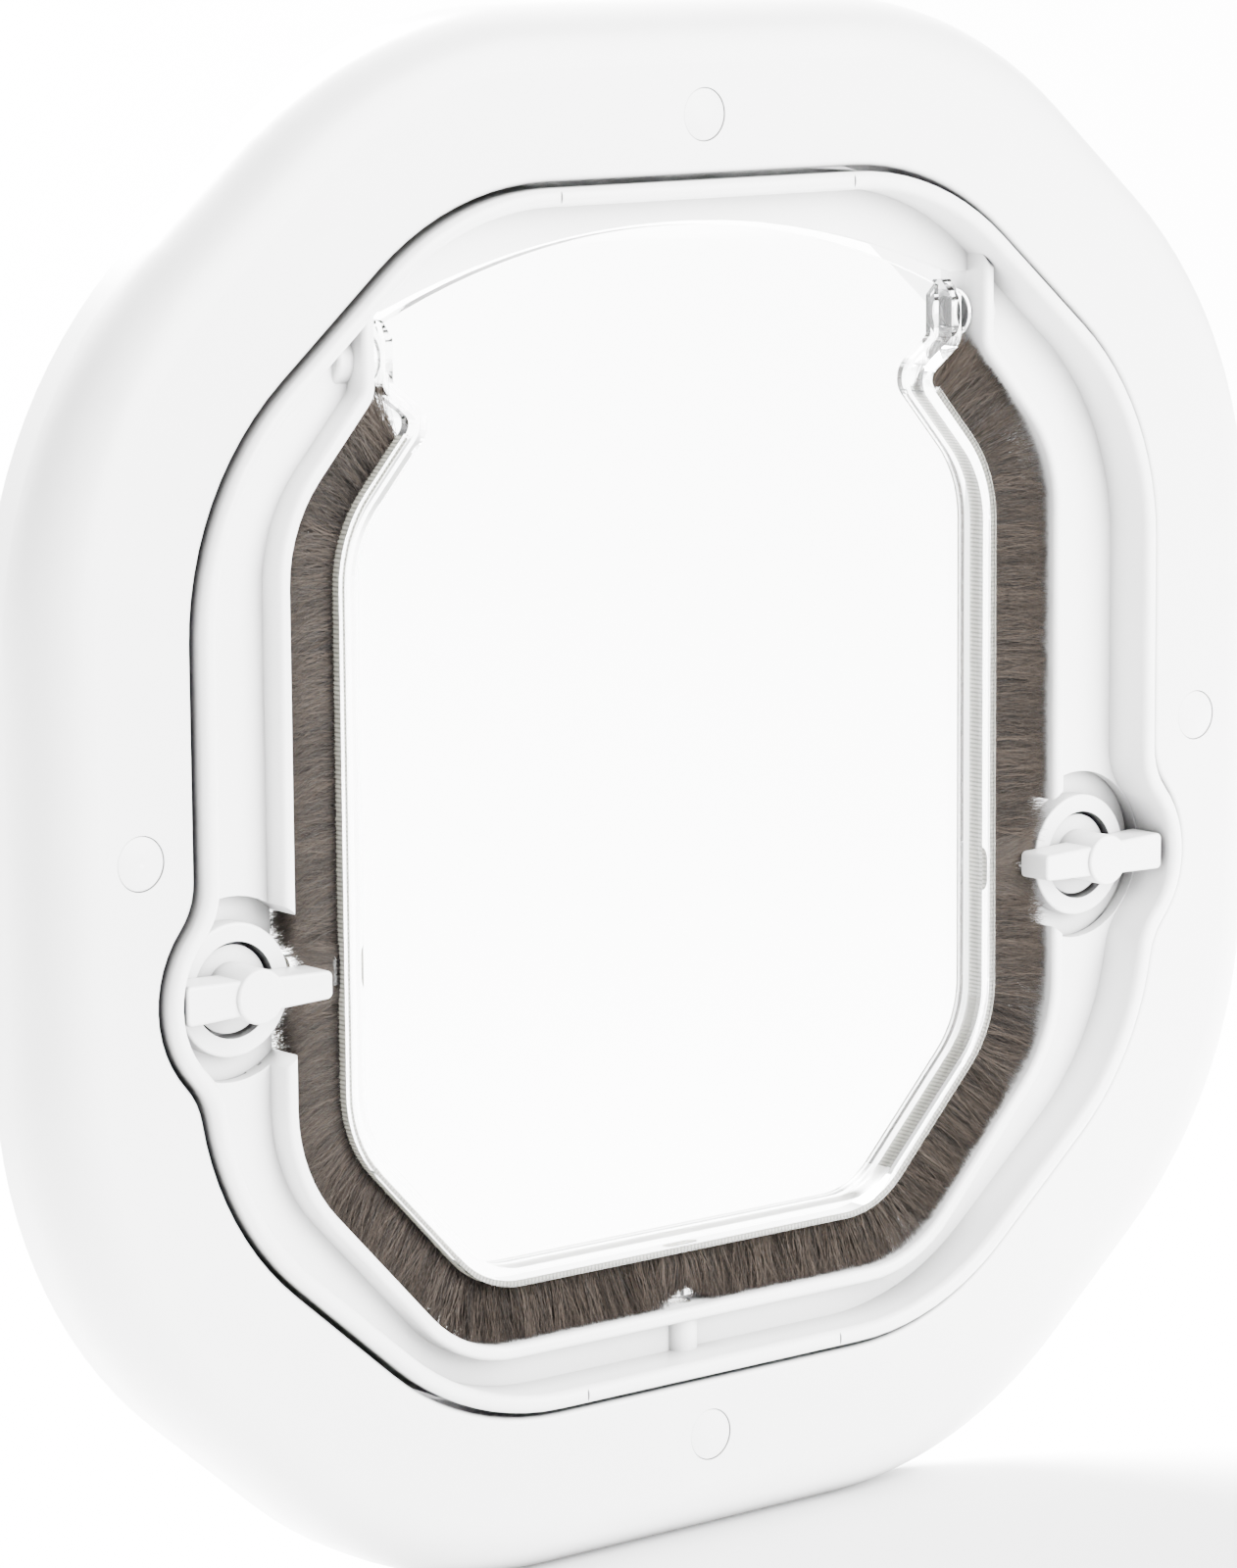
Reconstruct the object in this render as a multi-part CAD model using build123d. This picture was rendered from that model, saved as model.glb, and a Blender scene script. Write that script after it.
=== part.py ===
from build123d import *
from math import cos, radians, sin
import os

# Cat flap for glass, seen from inside the room. Millimetres.
# X runs to the right, Y runs out through the glass, Z is up.
# Y = 0 is the inside face of the glass, and X = Z = 0 is the middle of the round hole cut in it.

# Flap: width over the flange's sides, and height from its bottom to the hinge
FLAP_WIDTH = 167.6
FLAP_HEIGHT = 184.4
CORNER_ANGLE = -43.6
CORNER_CUT = 23.3
SHOULDER_ANGLE = 41.5
SHOULDER_CUT = 22.1
NOTCH_ANGLE = -54.2
NECK_IN = 18.5
NECK_DROP = 12.9
EAR_IN = 9.0
EAR_RISE = 7.0
EAR_CHAMFER = 3.3
EAR_PLAY = 3.7
FLAP_FRONT = -11.2
FLAP_DEPTH = 8.9
FLANGE = 2.6
RAIL = 1.2
RAIL_DEPTH = 1.0
PANE = 2.3

# Inside ring: how far it stands out round the flap, and its section
RING_BESIDE = 74.7
RING_BELOW = 60.0
RING_ABOVE = 65.6
RING_CORNER_ANGLE = 40.4
RING_CORNER_CUT = 54.2
RING_CORNER_RADIUS = 96.0
RING_BAND = 33.6
RING_DEPTH = 18.0
RING_ROUND = 12.0
SKIN = 2.5
RIB = 1.6

# Glass, the slim flange on its outer side and the tunnel
GLASS = 5.0
FLANGE_DEPTH = 6.0
FLANGE_INSET = 7.5
FLANGE_ROUND = 3.5
TUNNEL_REAR = 20.0
TUNNEL_ROOM = 4.0
TUNNEL_ROUND = 24.0

# Main frame: lip, gutter floor, inner wall and arch
LIP_GAP = 1.1
LIP_WIDTH = 3.6
LIP_FRONT = -20.0
LIP_BLEND = 14.0
LIP_ROUND = 1.6
FRAME_REAR = -1.0
FLOOR_FRONT = -9.0
GUTTER_SIDE = 21.1
GUTTER_BELOW = 9.8
WALL_CORNER_CUT = 29.0
WALL_SHOULDER_CUT = 20.0
WALL_FRONT = -14.5
WALL = 3.0
ARCH_BELOW_LIP = 4.9
ARCH_END_RISE = 6.6
ARCH_GAP = 0.9

# Hinge
AXIS_Y = -6.0
PIVOT_RADIUS = 3.4
PIVOT_PLAY = 0.06
SHOULDER_RADIUS = 4.9
CUP_RADIUS = 5.3
CUP_LENGTH = 3.4
RELIEF_RADIUS = 9.2

# Brush seal
PILE_FRONT = -9.6
PILE_REAR = -2.9
TIP_GAP = 1.1
SWING_GAP = 1.8

# Pegs on the flap's edge
PEG_WIDTH = 9.0
PEG_DEPTH = 5.0
PEG_Y = -6.4
PEG_GAP = 1.0

# Lock knobs, placed from the inner wall and the ring's bottom
KNOB_OUT = 11.7
KNOB_UP = 127.2
BAR_INNER = 17.3
BAR_OUTER = 16.6
BAR_TIP = 5.4
BAR_END = 7.8
BAR_FRONT = -18.0
BAR_REAR = -10.2
BOSS_RADIUS = 5.3
BOSS_PROUD = 0.8
DISC_DROP = 1.5
DISC_RADIUS = 8.5
COLLAR_BORE = 9.35
COLLAR_RADIUS = 12.95
COLLAR_FRONT = -9.9
COLLAR_REAR = 3.0
BEARING_REAR = -2.0
BEARING = 3.0
RECESS_RADIUS = 8.0
POCKET_RADIUS = 17.9
POCKET_FLOOR = -5.6
SHAFT_RADIUS = 4.0
SHAFT_PLAY = 0.06
PLAY = 0.3

# Caps, clamp screws, washers and knob screws
SCREW_IN_SIDE = 21.3
SCREW_IN_TOP = 22.0
SCREW_RISE = 0.5
CAP_RADIUS = 5.2
CAP_HEIGHT = 4.8
CAP_DOME = 26.0
CAP_PROUD = 0.3
HEAD_RADIUS = 4.0
HEAD_HEIGHT = 3.0
SEAT = -5.0
SCREW_RADIUS = 2.0
BOSS_WALL = 2.2
WASHER_RADIUS = 6.5
WASHER = 1.0
SMALL_HEAD = 2.8
SMALL_SCREW = 1.2

# Magnets
POST_RADIUS = 3.5
POST_Y = -8.4
MAGNET_RADIUS = 2.4
MAGNET_LENGTH = 7.8
FLAP_MAGNET_RADIUS = 1.8
FLAP_MAGNET_LENGTH = 5.6

# Sizes that follow from those above
RING_WIDTH = FLAP_WIDTH + 2 * RING_BESIDE
RING_HEIGHT = FLAP_HEIGHT + RING_BELOW + RING_ABOVE
FLAP_SIDE = FLAP_WIDTH / 2
FLAP_BOTTOM = RING_HEIGHT / 2 - RING_BELOW
AXIS_Z = RING_HEIGHT / 2 - RING_ABOVE
FLAP_REAR = FLAP_FRONT + FLAP_DEPTH
FLAP_EAR = FLAP_SIDE - EAR_IN
EAR_FACE = FLAP_EAR + EAR_PLAY
LIP_INSET = RING_BAND + LIP_GAP
GUTTER_INSET = LIP_INSET + LIP_WIDTH
WALL_SIDE = RING_WIDTH / 2 - GUTTER_INSET - GUTTER_SIDE
WALL_BOTTOM = RING_HEIGHT / 2 - GUTTER_INSET - GUTTER_BELOW
ARCH_TOP = RING_HEIGHT / 2 - GUTTER_INSET - ARCH_BELOW_LIP
KNOB_X = WALL_SIDE + KNOB_OUT
KNOB_Z = KNOB_UP - RING_HEIGHT / 2
BULGE = POCKET_RADIUS + LIP_WIDTH + LIP_GAP
SCREW_X = RING_WIDTH / 2 - SCREW_IN_SIDE
SCREW_Z = RING_HEIGHT / 2 - SCREW_IN_TOP
SCREW_SPOTS = [(0, SCREW_Z), (0, -SCREW_Z), (SCREW_X, SCREW_RISE), (-SCREW_X, SCREW_RISE)]

LOW = (Align.CENTER, Align.CENTER, Align.MIN)
HIGH = (Align.CENTER, Align.CENTER, Align.MAX)


def slab(face, front, rear):
    """Give a flat outline drawn in X and Z its depth, from one Y to another."""
    plane = Plane(origin=(0, rear, 0), x_dir=(1, 0, 0), z_dir=(0, -1, 0))
    return extrude(plane * face, amount=rear - front)


def rod(x, z, radius, front, rear):
    """Make a round bar along Y."""
    return slab(Pos(x, z) * Circle(radius), front, rear)


def both(shape):
    """Add the mirror image on the other side of X = 0."""
    return shape + mirror(shape, about=Plane.YZ)


def front_edges(shape):
    """Edges that lie furthest towards the room."""
    return shape.edges().group_by(Axis.Y)[0]


def rear_edges(shape):
    """Edges that lie furthest towards the outside."""
    return shape.edges().group_by(Axis.Y)[-1]


def reach(angle, side, height, cut):
    """Distance of a slanted run that cuts a corner of the given half width and height."""
    return cos(radians(angle)) * side + abs(sin(radians(angle))) * height - cut


def meet(first, second):
    """Point where two lines cross, each given as (angle of its normal, distance)."""
    a1, d1 = radians(first[0]), first[1]
    a2, d2 = radians(second[0]), second[1]
    cross = sin(a2 - a1)
    x = (d1 * sin(a2) - d2 * sin(a1)) / cross
    z = (d2 * cos(a1) - d1 * cos(a2)) / cross
    return (x, z)


def octagon(inset):
    """Outline of the ring, moved inwards by inset."""
    side = RING_WIDTH / 2 - inset
    top = RING_HEIGHT / 2 - inset
    angle = 90 - RING_CORNER_ANGLE
    corner = reach(angle, RING_WIDTH / 2, RING_HEIGHT / 2, RING_CORNER_CUT) - inset
    x = meet((angle, corner), (90, top))[0]
    z = meet((angle, corner), (0, side))[1]
    points = [(x, top), (side, z), (side, -z), (x, -top)]
    points += [(-px, pz) for px, pz in reversed(points)]
    face = make_face(Polyline(*points, close=True))
    return fillet(face.vertices(), RING_CORNER_RADIUS - inset)


def bulged(inset, radius):
    """Octagon with a round bulge at each knob, its inner corners blended."""
    face = octagon(inset)
    for x in (KNOB_X, -KNOB_X):
        face += Pos(x, KNOB_Z) * Circle(radius)
    corners = []
    for vertex in face.vertices():
        away = (Vector(abs(vertex.X), vertex.Y) - Vector(KNOB_X, KNOB_Z)).length
        if abs(away - radius) < 0.001 and abs(vertex.Y - KNOB_Z) > 1:
            corners.append(vertex)
    return fillet(corners, LIP_BLEND)


def path(lines, offsets, end, radii):
    """Rounded path from end to end through the bottom, symmetric about X = 0.

    Each line moves outwards by its own offset. The end is a line too, and
    the radii are signed: a corner that turns the other way is negative.
    """
    moved = [(angle, d + o) for (angle, d), o in zip(lines, offsets)]
    half = [meet(a, b) for a, b in zip(moved, moved[1:])]
    half.append(meet(moved[-1], end))
    points = [(-x, z) for x, z in reversed(half)] + half
    grown = []
    for radius, offset in zip(radii, offsets):
        grown.append(max(radius + offset, 0.6) if radius > 0 else max(-radius - offset, 0.6))
    return FilletPolyline(*points, radius=grown[::-1] + grown)


def band(lines, inner, outer, end, radii):
    """Strip between two offsets of a path."""
    one = path(lines, inner, end, radii)
    two = path(lines, outer, end, radii)
    edges = one.edges() + two.edges() + [Line(one @ 0, two @ 0), Line(one @ 1, two @ 1)]
    return make_face(edges)


def tunnel(grow):
    """Outline of the tunnel, moved outwards by grow."""
    moved = [(angle, d + grow) for angle, d in tunnel_lines]
    half = [meet(a, b) for a, b in zip(moved, moved[1:])]
    points = half + [(-x, z) for x, z in reversed(half)]
    face = make_face(Polyline(*points, close=True))
    return fillet(face.vertices(), TUNNEL_ROUND + grow)


def ribs(front, rear):
    """Radial ribs that stiffen a hollow moulding."""
    blade = Pos(0, (front + rear) / 2, 0) * Box(2 * RING_WIDTH, rear - front, RIB)
    return [Rot(0, 22.5 * step + 11.25, 0) * blade for step in range(8)]


def side_peg(grow):
    """Peg on the flap's right side, its section swollen by grow."""
    oval = Pos(PEG_Y, KNOB_Z) * Rot(0, 0, 90) * SlotOverall(PEG_WIDTH + 2 * grow, PEG_DEPTH + 2 * grow)
    return extrude(Plane.YZ.offset(FLAP_SIDE - FLANGE / 2) * oval, amount=side_reach - FLAP_SIDE + FLANGE / 2)


def bottom_peg(grow):
    """Peg at the flap's bottom, its section swollen by grow."""
    oval = Pos(0, PEG_Y) * SlotOverall(PEG_WIDTH + 2 * grow, PEG_DEPTH + 2 * grow)
    return extrude(Plane.XY.offset(-bottom_reach) * oval, amount=bottom_reach - FLAP_BOTTOM + FLANGE / 2)


os.makedirs("parts", exist_ok=True)

# Runs of the flap's flange on its outer face, from the bottom up, and how each corner is rounded
body_lines = [
    (-90, FLAP_BOTTOM),
    (CORNER_ANGLE, reach(CORNER_ANGLE, FLAP_SIDE, FLAP_BOTTOM, CORNER_CUT)),
    (0, FLAP_SIDE),
    (SHOULDER_ANGLE, reach(SHOULDER_ANGLE, FLAP_SIDE, AXIS_Z, SHOULDER_CUT)),
]
body_radii = [20, 24, 26]
notch = cos(radians(NOTCH_ANGLE)) * (FLAP_SIDE - NECK_IN) + sin(radians(NOTCH_ANGLE)) * (AXIS_Z - NECK_DROP)
flap_lines = body_lines + [(NOTCH_ANGLE, notch), (0, FLAP_EAR)]
flap_radii = body_radii + [-2.5, 4]
ear_top = (90, AXIS_Z + EAR_RISE)

# Runs of the inner wall, which the pile's tips stay clear of
wall_lines = [
    (-90, WALL_BOTTOM),
    (CORNER_ANGLE, reach(CORNER_ANGLE, WALL_SIDE, WALL_BOTTOM, WALL_CORNER_CUT)),
    (0, WALL_SIDE),
    (SHOULDER_ANGLE, reach(SHOULDER_ANGLE, WALL_SIDE, AXIS_Z, WALL_SHOULDER_CUT)),
    (0, EAR_FACE),
]
wall_radii = [28, 32, 30, -6.4]
tip_gaps = (TIP_GAP, TIP_GAP, SWING_GAP, SWING_GAP)
pile_root = [RAIL] * 4
pile_tip = [w[1] - f[1] - g for w, f, g in zip(wall_lines, body_lines, tip_gaps)]

# The pile stops just short of the neck, where the shoulder meets the notch
neck_x, neck_z = meet(flap_lines[3], flap_lines[4])
neck = neck_x * sin(radians(SHOULDER_ANGLE)) - neck_z * cos(radians(SHOULDER_ANGLE))
pile_end = (SHOULDER_ANGLE - 90, neck + RAIL + FLANGE)

# Passage: inside of the wall, up both ears to the arch
sides = path(wall_lines, [0] * 5, (90, AXIS_Z + ARCH_END_RISE), wall_radii)
arch = ThreePointArc(sides @ 0, (0, ARCH_TOP), sides @ 1)
passage = make_face(sides.edges() + arch.edges())

# Tunnel behind the wall, wider so that the flap clears it when it swings out
upper = 90 - RING_CORNER_ANGLE
tunnel_lines = [
    (-90, WALL_BOTTOM + TUNNEL_ROOM),
    (CORNER_ANGLE, wall_lines[1][1] + TUNNEL_ROOM),
    (0, WALL_SIDE + TUNNEL_ROOM),
    (upper, reach(upper, EAR_FACE, AXIS_Z + RELIEF_RADIUS, -TUNNEL_ROOM / 2)),
    (90, ARCH_TOP + TUNNEL_ROOM / 2),
]

# Inside ring: a rounded shell, open towards the glass
ring = slab(octagon(0), -RING_DEPTH, 0)
ring = fillet(front_edges(ring), RING_ROUND)
ring -= slab(bulged(RING_BAND, BULGE), -RING_DEPTH, 0)
inner_edge = ring.faces().sort_by(Axis.Y)[0].inner_wires()[0].edges()
ring = fillet(inner_edge, SKIN / 2)
hollow = slab(octagon(SKIN), SKIN - RING_DEPTH, 0)
hollow = fillet(front_edges(hollow), RING_ROUND - SKIN)
hollow -= slab(bulged(RING_BAND - SKIN, BULGE + SKIN), SKIN - RING_DEPTH, 0)
for blade in ribs(-RING_DEPTH, -SKIN):
    hollow -= blade
for x, z in SCREW_SPOTS:
    hollow -= rod(x, z, CAP_RADIUS + BOSS_WALL, -RING_DEPTH, 0)
ring -= hollow
for x, z in SCREW_SPOTS:
    ring -= rod(x, z, CAP_RADIUS + 0.1, -RING_DEPTH, SEAT)
    ring -= rod(x, z, SCREW_RADIUS + 0.1, SEAT, 0)
ring -= Pos(0, 0, -RING_HEIGHT / 2) * Box(2 * SKIN, 3 * SKIN, 2 * SKIN)

# Main frame: lip, gutter floor and inner wall
lip_face = bulged(LIP_INSET, BULGE - LIP_GAP)
lip_inner = bulged(GUTTER_INSET, POCKET_RADIUS + 0.2)
lip = slab(lip_face - lip_inner, LIP_FRONT, FRAME_REAR)
lip = fillet(front_edges(lip), LIP_ROUND)
wall_top = (90, AXIS_Z + 3 * ARCH_END_RISE)
wall_face = band(wall_lines, [0] * 5, [WALL] * 5, wall_top, wall_radii)
wall = slab(wall_face & lip_inner, WALL_FRONT, FRAME_REAR)
wall = fillet(front_edges(wall), 1.2)
frame = lip + wall + slab(lip_face - passage, FLOOR_FRONT, FLOOR_FRONT + SKIN)

# Marks across the lip, two at the top and two at the bottom
mark = Box(SKIN / 5, SKIN / 3, LIP_WIDTH)
lip_middle = RING_HEIGHT / 2 - LIP_INSET - LIP_WIDTH / 2
frame -= both(Pos(0.45 * FLAP_SIDE, LIP_FRONT, lip_middle) * mark)
frame -= both(Pos(0.4 * FLAP_SIDE, LIP_FRONT, -lip_middle) * mark)

# Outer part of the main frame: tunnel sleeve and hollow flange
flange_rear = GLASS + FLANGE_DEPTH
flange = slab(octagon(FLANGE_INSET), GLASS, flange_rear)
flange = fillet(rear_edges(flange), FLANGE_ROUND)
hollow = slab(octagon(FLANGE_INSET + SKIN), GLASS, flange_rear - SKIN)
hollow = fillet(rear_edges(hollow), FLANGE_ROUND - SKIN)
for blade in ribs(GLASS + SKIN / 2, flange_rear):
    hollow -= blade
flange -= hollow
frame += flange - slab(tunnel(0), GLASS, flange_rear)
frame += slab(tunnel(SKIN) - tunnel(0), FLOOR_FRONT + SKIN / 2, TUNNEL_REAR)
for x, z in SCREW_SPOTS:
    frame += rod(x, z, CAP_RADIUS + 1, 0, flange_rear - SKIN / 2)
    frame -= rod(x, z, SCREW_RADIUS + 0.05, 0, flange_rear - SKIN)

# Cups on the backs of the ears for the flap's pivots, and room for its ears to turn
cup = Cylinder(CUP_RADIUS, CUP_LENGTH + WALL / 2, align=LOW)
cup = fillet(cup.edges().group_by(Axis.Z)[-1], 1)
frame += both(Pos(EAR_FACE + WALL / 2, AXIS_Y, AXIS_Z) * Rot(0, 90, 0) * cup)
relief = Cylinder(RELIEF_RADIUS, EAR_PLAY + FLANGE + 1, align=HIGH)
frame -= both(Pos(EAR_FACE, AXIS_Y, AXIS_Z) * Rot(0, 90, 0) * relief)
pivot_bore = Cylinder(PIVOT_RADIUS + PIVOT_PLAY, WALL + CUP_LENGTH / 2 + 1, align=LOW)
frame -= both(Pos(EAR_FACE - 1, AXIS_Y, AXIS_Z) * Rot(0, 90, 0) * pivot_bore)

# Knob pockets, each with a collar, a bearing and a recess for the screw behind it
for x in (KNOB_X, -KNOB_X):
    frame -= rod(x, KNOB_Z, POCKET_RADIUS, LIP_FRONT, POCKET_FLOOR)
    ledge = (Pos(x, KNOB_Z) * Circle(POCKET_RADIUS + 1)) - passage
    collar = rod(x, KNOB_Z, COLLAR_RADIUS, COLLAR_FRONT, COLLAR_REAR)
    collar = fillet(front_edges(collar), 0.6)
    frame += slab(ledge, POCKET_FLOOR, POCKET_FLOOR + SKIN) + collar
    frame -= rod(x, KNOB_Z, COLLAR_BORE, COLLAR_FRONT, BEARING_REAR - BEARING)
    frame -= rod(x, KNOB_Z, SHAFT_RADIUS + SHAFT_PLAY, COLLAR_FRONT, BEARING_REAR)
    frame -= rod(x, KNOB_Z, RECESS_RADIUS, BEARING_REAR, COLLAR_REAR)

# Post under the sill, bored from above for its magnet
gutter_low = GUTTER_INSET - RING_HEIGHT / 2
frame += Pos(0, POST_Y, -WALL_BOTTOM - 1) * Cylinder(POST_RADIUS, -WALL_BOTTOM - gutter_low, align=HIGH)
frame -= Pos(0, POST_Y, 1 - WALL_BOTTOM) * Cylinder(MAGNET_RADIUS + 0.05, MAGNET_LENGTH + 1.2, align=HIGH)
sill_magnet = Pos(0, POST_Y, -WALL_BOTTOM - 0.1) * Cylinder(MAGNET_RADIUS, MAGNET_LENGTH, align=HIGH)

# Caps and the clamp screws under them
cap = Cylinder(CAP_RADIUS, CAP_HEIGHT, align=HIGH) & Pos(0, 0, -CAP_DOME) * Sphere(CAP_DOME)
cap = fillet(cap.edges().filter_by(Plane.XY).sort_by(Axis.Z)[-1], 0.3)
cap -= Pos(0, 0, -2) * Cylinder(CAP_RADIUS - 1, CAP_HEIGHT, align=HIGH)
cap = Pos(0, -RING_DEPTH - CAP_PROUD, 0) * Rot(90, 0, 0) * cap
screw = Cylinder(HEAD_RADIUS, HEAD_HEIGHT, align=LOW)
screw = fillet(screw.edges().group_by(Axis.Z)[-1], HEAD_HEIGHT / 2)
screw -= Pos(0, 0, HEAD_HEIGHT) * (Box(HEAD_RADIUS, 1, HEAD_HEIGHT) + Box(1, HEAD_RADIUS, HEAD_HEIGHT))
screw += Cylinder(SCREW_RADIUS, flange_rear - SKIN - 0.5 - SEAT, align=HIGH)
screw = Pos(0, SEAT, 0) * Rot(90, 0, 0) * screw
screws = [Pos(x, 0, z) * screw for x, z in SCREW_SPOTS]

# Flap: a clear pane with a flange round it, channelled on its outer side for the seal
rim = band(flap_lines, [-FLANGE] * 6, [0] * 6, ear_top, flap_radii)
flap = slab(rim, FLAP_FRONT, FLAP_REAR)
flap = chamfer(flap.edges().filter_by(Axis.X).group_by(Axis.Z)[-1], EAR_CHAMFER)
rails = band(body_lines, [-FLANGE / 4] * 4, [RAIL] * 4, pile_end, body_radii)
flap += slab(rails, FLAP_FRONT, FLAP_FRONT + RAIL_DEPTH)
flap += slab(rails, FLAP_REAR - RAIL_DEPTH, FLAP_REAR)
edge = path(flap_lines, [-FLANGE / 2] * 6, (90, AXIS_Z + EAR_RISE - EAR_CHAMFER / 2), flap_radii)
top = ThreePointArc(edge @ 0, (0, ARCH_TOP - ARCH_GAP), edge @ 1)
flap += slab(make_face(edge.edges() + top.edges()), AXIS_Y - PANE / 2, AXIS_Y + PANE / 2)

# Its pivots, each with a shoulder that keeps the ear off the frame
pivot = Cylinder(PIVOT_RADIUS, EAR_PLAY + WALL + 1, align=LOW)
pivot = chamfer(pivot.edges().group_by(Axis.Z)[-1], 0.6)
pivot += Pos(0, 0, -FLANGE / 2) * Cylinder(SHOULDER_RADIUS, EAR_PLAY - 2 * PLAY + FLANGE / 2, align=LOW)
flap += both(Pos(FLAP_EAR, AXIS_Y, AXIS_Z) * Rot(0, 90, 0) * pivot)

# Its pegs: one each side, behind a locked knob's bar, and one over the post
side_reach = KNOB_X - COLLAR_RADIUS - PEG_GAP
bottom_reach = WALL_BOTTOM - PEG_GAP
flap += both(side_peg(0)) + bottom_peg(0)
flap -= Pos(0, PEG_Y, -bottom_reach) * Cylinder(FLAP_MAGNET_RADIUS + 0.05, 2 * FLAP_MAGNET_LENGTH + 0.5)
flap_magnet = Pos(0, PEG_Y, 0.1 - bottom_reach) * Cylinder(FLAP_MAGNET_RADIUS, FLAP_MAGNET_LENGTH, align=LOW)

# Seal: a woven backing in the channel and the pile that stands on it, parted round the pegs
strip = band(body_lines, [0.03] * 4, [RAIL - 0.05] * 4, pile_end, body_radii)
backing = slab(strip, FLAP_FRONT + RAIL_DEPTH + 0.05, FLAP_REAR - RAIL_DEPTH - 0.05)
backing -= both(side_peg(0.1)) + bottom_peg(0.1)
pile = slab(band(body_lines, pile_root, pile_tip, pile_end, body_radii), PILE_FRONT, PILE_REAR)
parting = PEG_WIDTH + 1
for x in (FLAP_SIDE, -FLAP_SIDE):
    pile -= Pos(x, PEG_Y, KNOB_Z) * Box(4 * pile_tip[2], 4 * PEG_DEPTH, parting)
pile -= Pos(0, PEG_Y, -FLAP_BOTTOM) * Box(parting, 4 * PEG_DEPTH, 4 * pile_tip[0])

# Right knob: boss, tapered bar, disc and shaft, with its washer and screw behind the bearing
corners = [(-BAR_INNER, BAR_TIP / 2), (-BAR_INNER, -BAR_TIP / 2), (BAR_OUTER, -BAR_END / 2), (BAR_OUTER, BAR_END / 2)]
bar = make_face(Polyline(*corners, close=True))
bar = slab(fillet(bar.vertices(), 1.2), BAR_FRONT, BAR_REAR)
bar = fillet(front_edges(bar), 0.7)
disc_front = COLLAR_FRONT + DISC_DROP
disc_rear = BEARING_REAR - BEARING - PLAY
shaft_rear = BEARING_REAR + PLAY
boss = rod(0, 0, BOSS_RADIUS, BAR_FRONT - BOSS_PROUD, disc_front)
boss = fillet(front_edges(boss), 0.5)
knob = bar + boss + rod(0, 0, DISC_RADIUS, disc_front, disc_rear)
knob += rod(0, 0, SHAFT_RADIUS, disc_rear, shaft_rear)
knob -= rod(0, 0, SMALL_SCREW + 0.05, disc_front + 2, shaft_rear)
washer = rod(0, 0, WASHER_RADIUS, shaft_rear, shaft_rear + WASHER)
washer -= rod(0, 0, SMALL_SCREW + 0.2, shaft_rear, shaft_rear + WASHER)
head_seat = shaft_rear + WASHER
knob_screw = rod(0, 0, SMALL_HEAD, head_seat, head_seat + 2)
knob_screw = fillet(rear_edges(knob_screw), 0.9)
knob_screw += rod(0, 0, SMALL_SCREW, disc_front + 3, head_seat)
spot = Pos(KNOB_X, 0, KNOB_Z)

nodes = {
    "inside_ring": ring,
    "main_frame": frame,
    "flap": flap,
    "seal_backing": backing,
    "seal_pile": pile,
    "top_cap": Pos(0, 0, SCREW_Z) * cap,
    "bottom_cap": Pos(0, 0, -SCREW_Z) * cap,
    "left_cap": Pos(-SCREW_X, 0, SCREW_RISE) * cap,
    "right_cap": Pos(SCREW_X, 0, SCREW_RISE) * cap,
    "clamp_screws": Compound(children=screws),
    "sill_magnet": sill_magnet,
    "flap_magnet": flap_magnet,
    "right_knob": spot * knob,
    "right_washer": spot * washer,
    "right_knob_screw": spot * knob_screw,
    "left_knob": mirror(spot * knob, about=Plane.YZ),
    "left_washer": mirror(spot * washer, about=Plane.YZ),
    "left_knob_screw": mirror(spot * knob_screw, about=Plane.YZ),
}
for name, shape in nodes.items():
    export_step(shape, "parts/" + name + ".step")
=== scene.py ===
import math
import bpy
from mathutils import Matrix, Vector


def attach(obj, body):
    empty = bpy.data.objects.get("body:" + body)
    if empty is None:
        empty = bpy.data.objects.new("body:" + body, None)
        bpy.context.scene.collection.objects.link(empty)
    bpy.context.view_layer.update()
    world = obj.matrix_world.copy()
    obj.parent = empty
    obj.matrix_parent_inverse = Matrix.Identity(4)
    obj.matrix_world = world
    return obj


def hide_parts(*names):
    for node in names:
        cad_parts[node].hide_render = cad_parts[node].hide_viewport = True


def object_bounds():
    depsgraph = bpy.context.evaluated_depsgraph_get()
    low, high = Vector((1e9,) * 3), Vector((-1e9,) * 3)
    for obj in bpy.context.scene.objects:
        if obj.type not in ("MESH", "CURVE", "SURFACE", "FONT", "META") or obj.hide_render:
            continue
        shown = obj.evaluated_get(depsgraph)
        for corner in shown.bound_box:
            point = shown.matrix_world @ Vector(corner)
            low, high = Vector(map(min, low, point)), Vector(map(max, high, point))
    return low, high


bl_info = {
    "name": "Cat Flap Dressing",
    "version": (1, 0, 0),
    "blender": (4, 5, 0),
    "location": "View3D > Sidebar > Cat Flap",
    "description": "Dresses the cat flap: white mouldings, clear flap, woven backing and brush pile",
    "category": "Object",
}

import bpy
import numpy as np
from bpy.props import FloatProperty, FloatVectorProperty, IntProperty, PointerProperty
from bpy.types import Operator, Panel, PropertyGroup
from mathutils import Matrix, Vector

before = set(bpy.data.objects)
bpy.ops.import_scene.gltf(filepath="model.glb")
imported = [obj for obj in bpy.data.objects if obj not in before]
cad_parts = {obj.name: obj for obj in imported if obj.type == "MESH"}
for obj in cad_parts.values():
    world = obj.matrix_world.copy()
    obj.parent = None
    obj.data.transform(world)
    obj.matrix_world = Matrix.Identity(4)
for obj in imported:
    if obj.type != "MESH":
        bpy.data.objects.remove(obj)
CAD_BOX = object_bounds()

# Lengths of the seal, in its constants and its code, are in millimetres; all others are in metres
MM = 0.001

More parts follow.
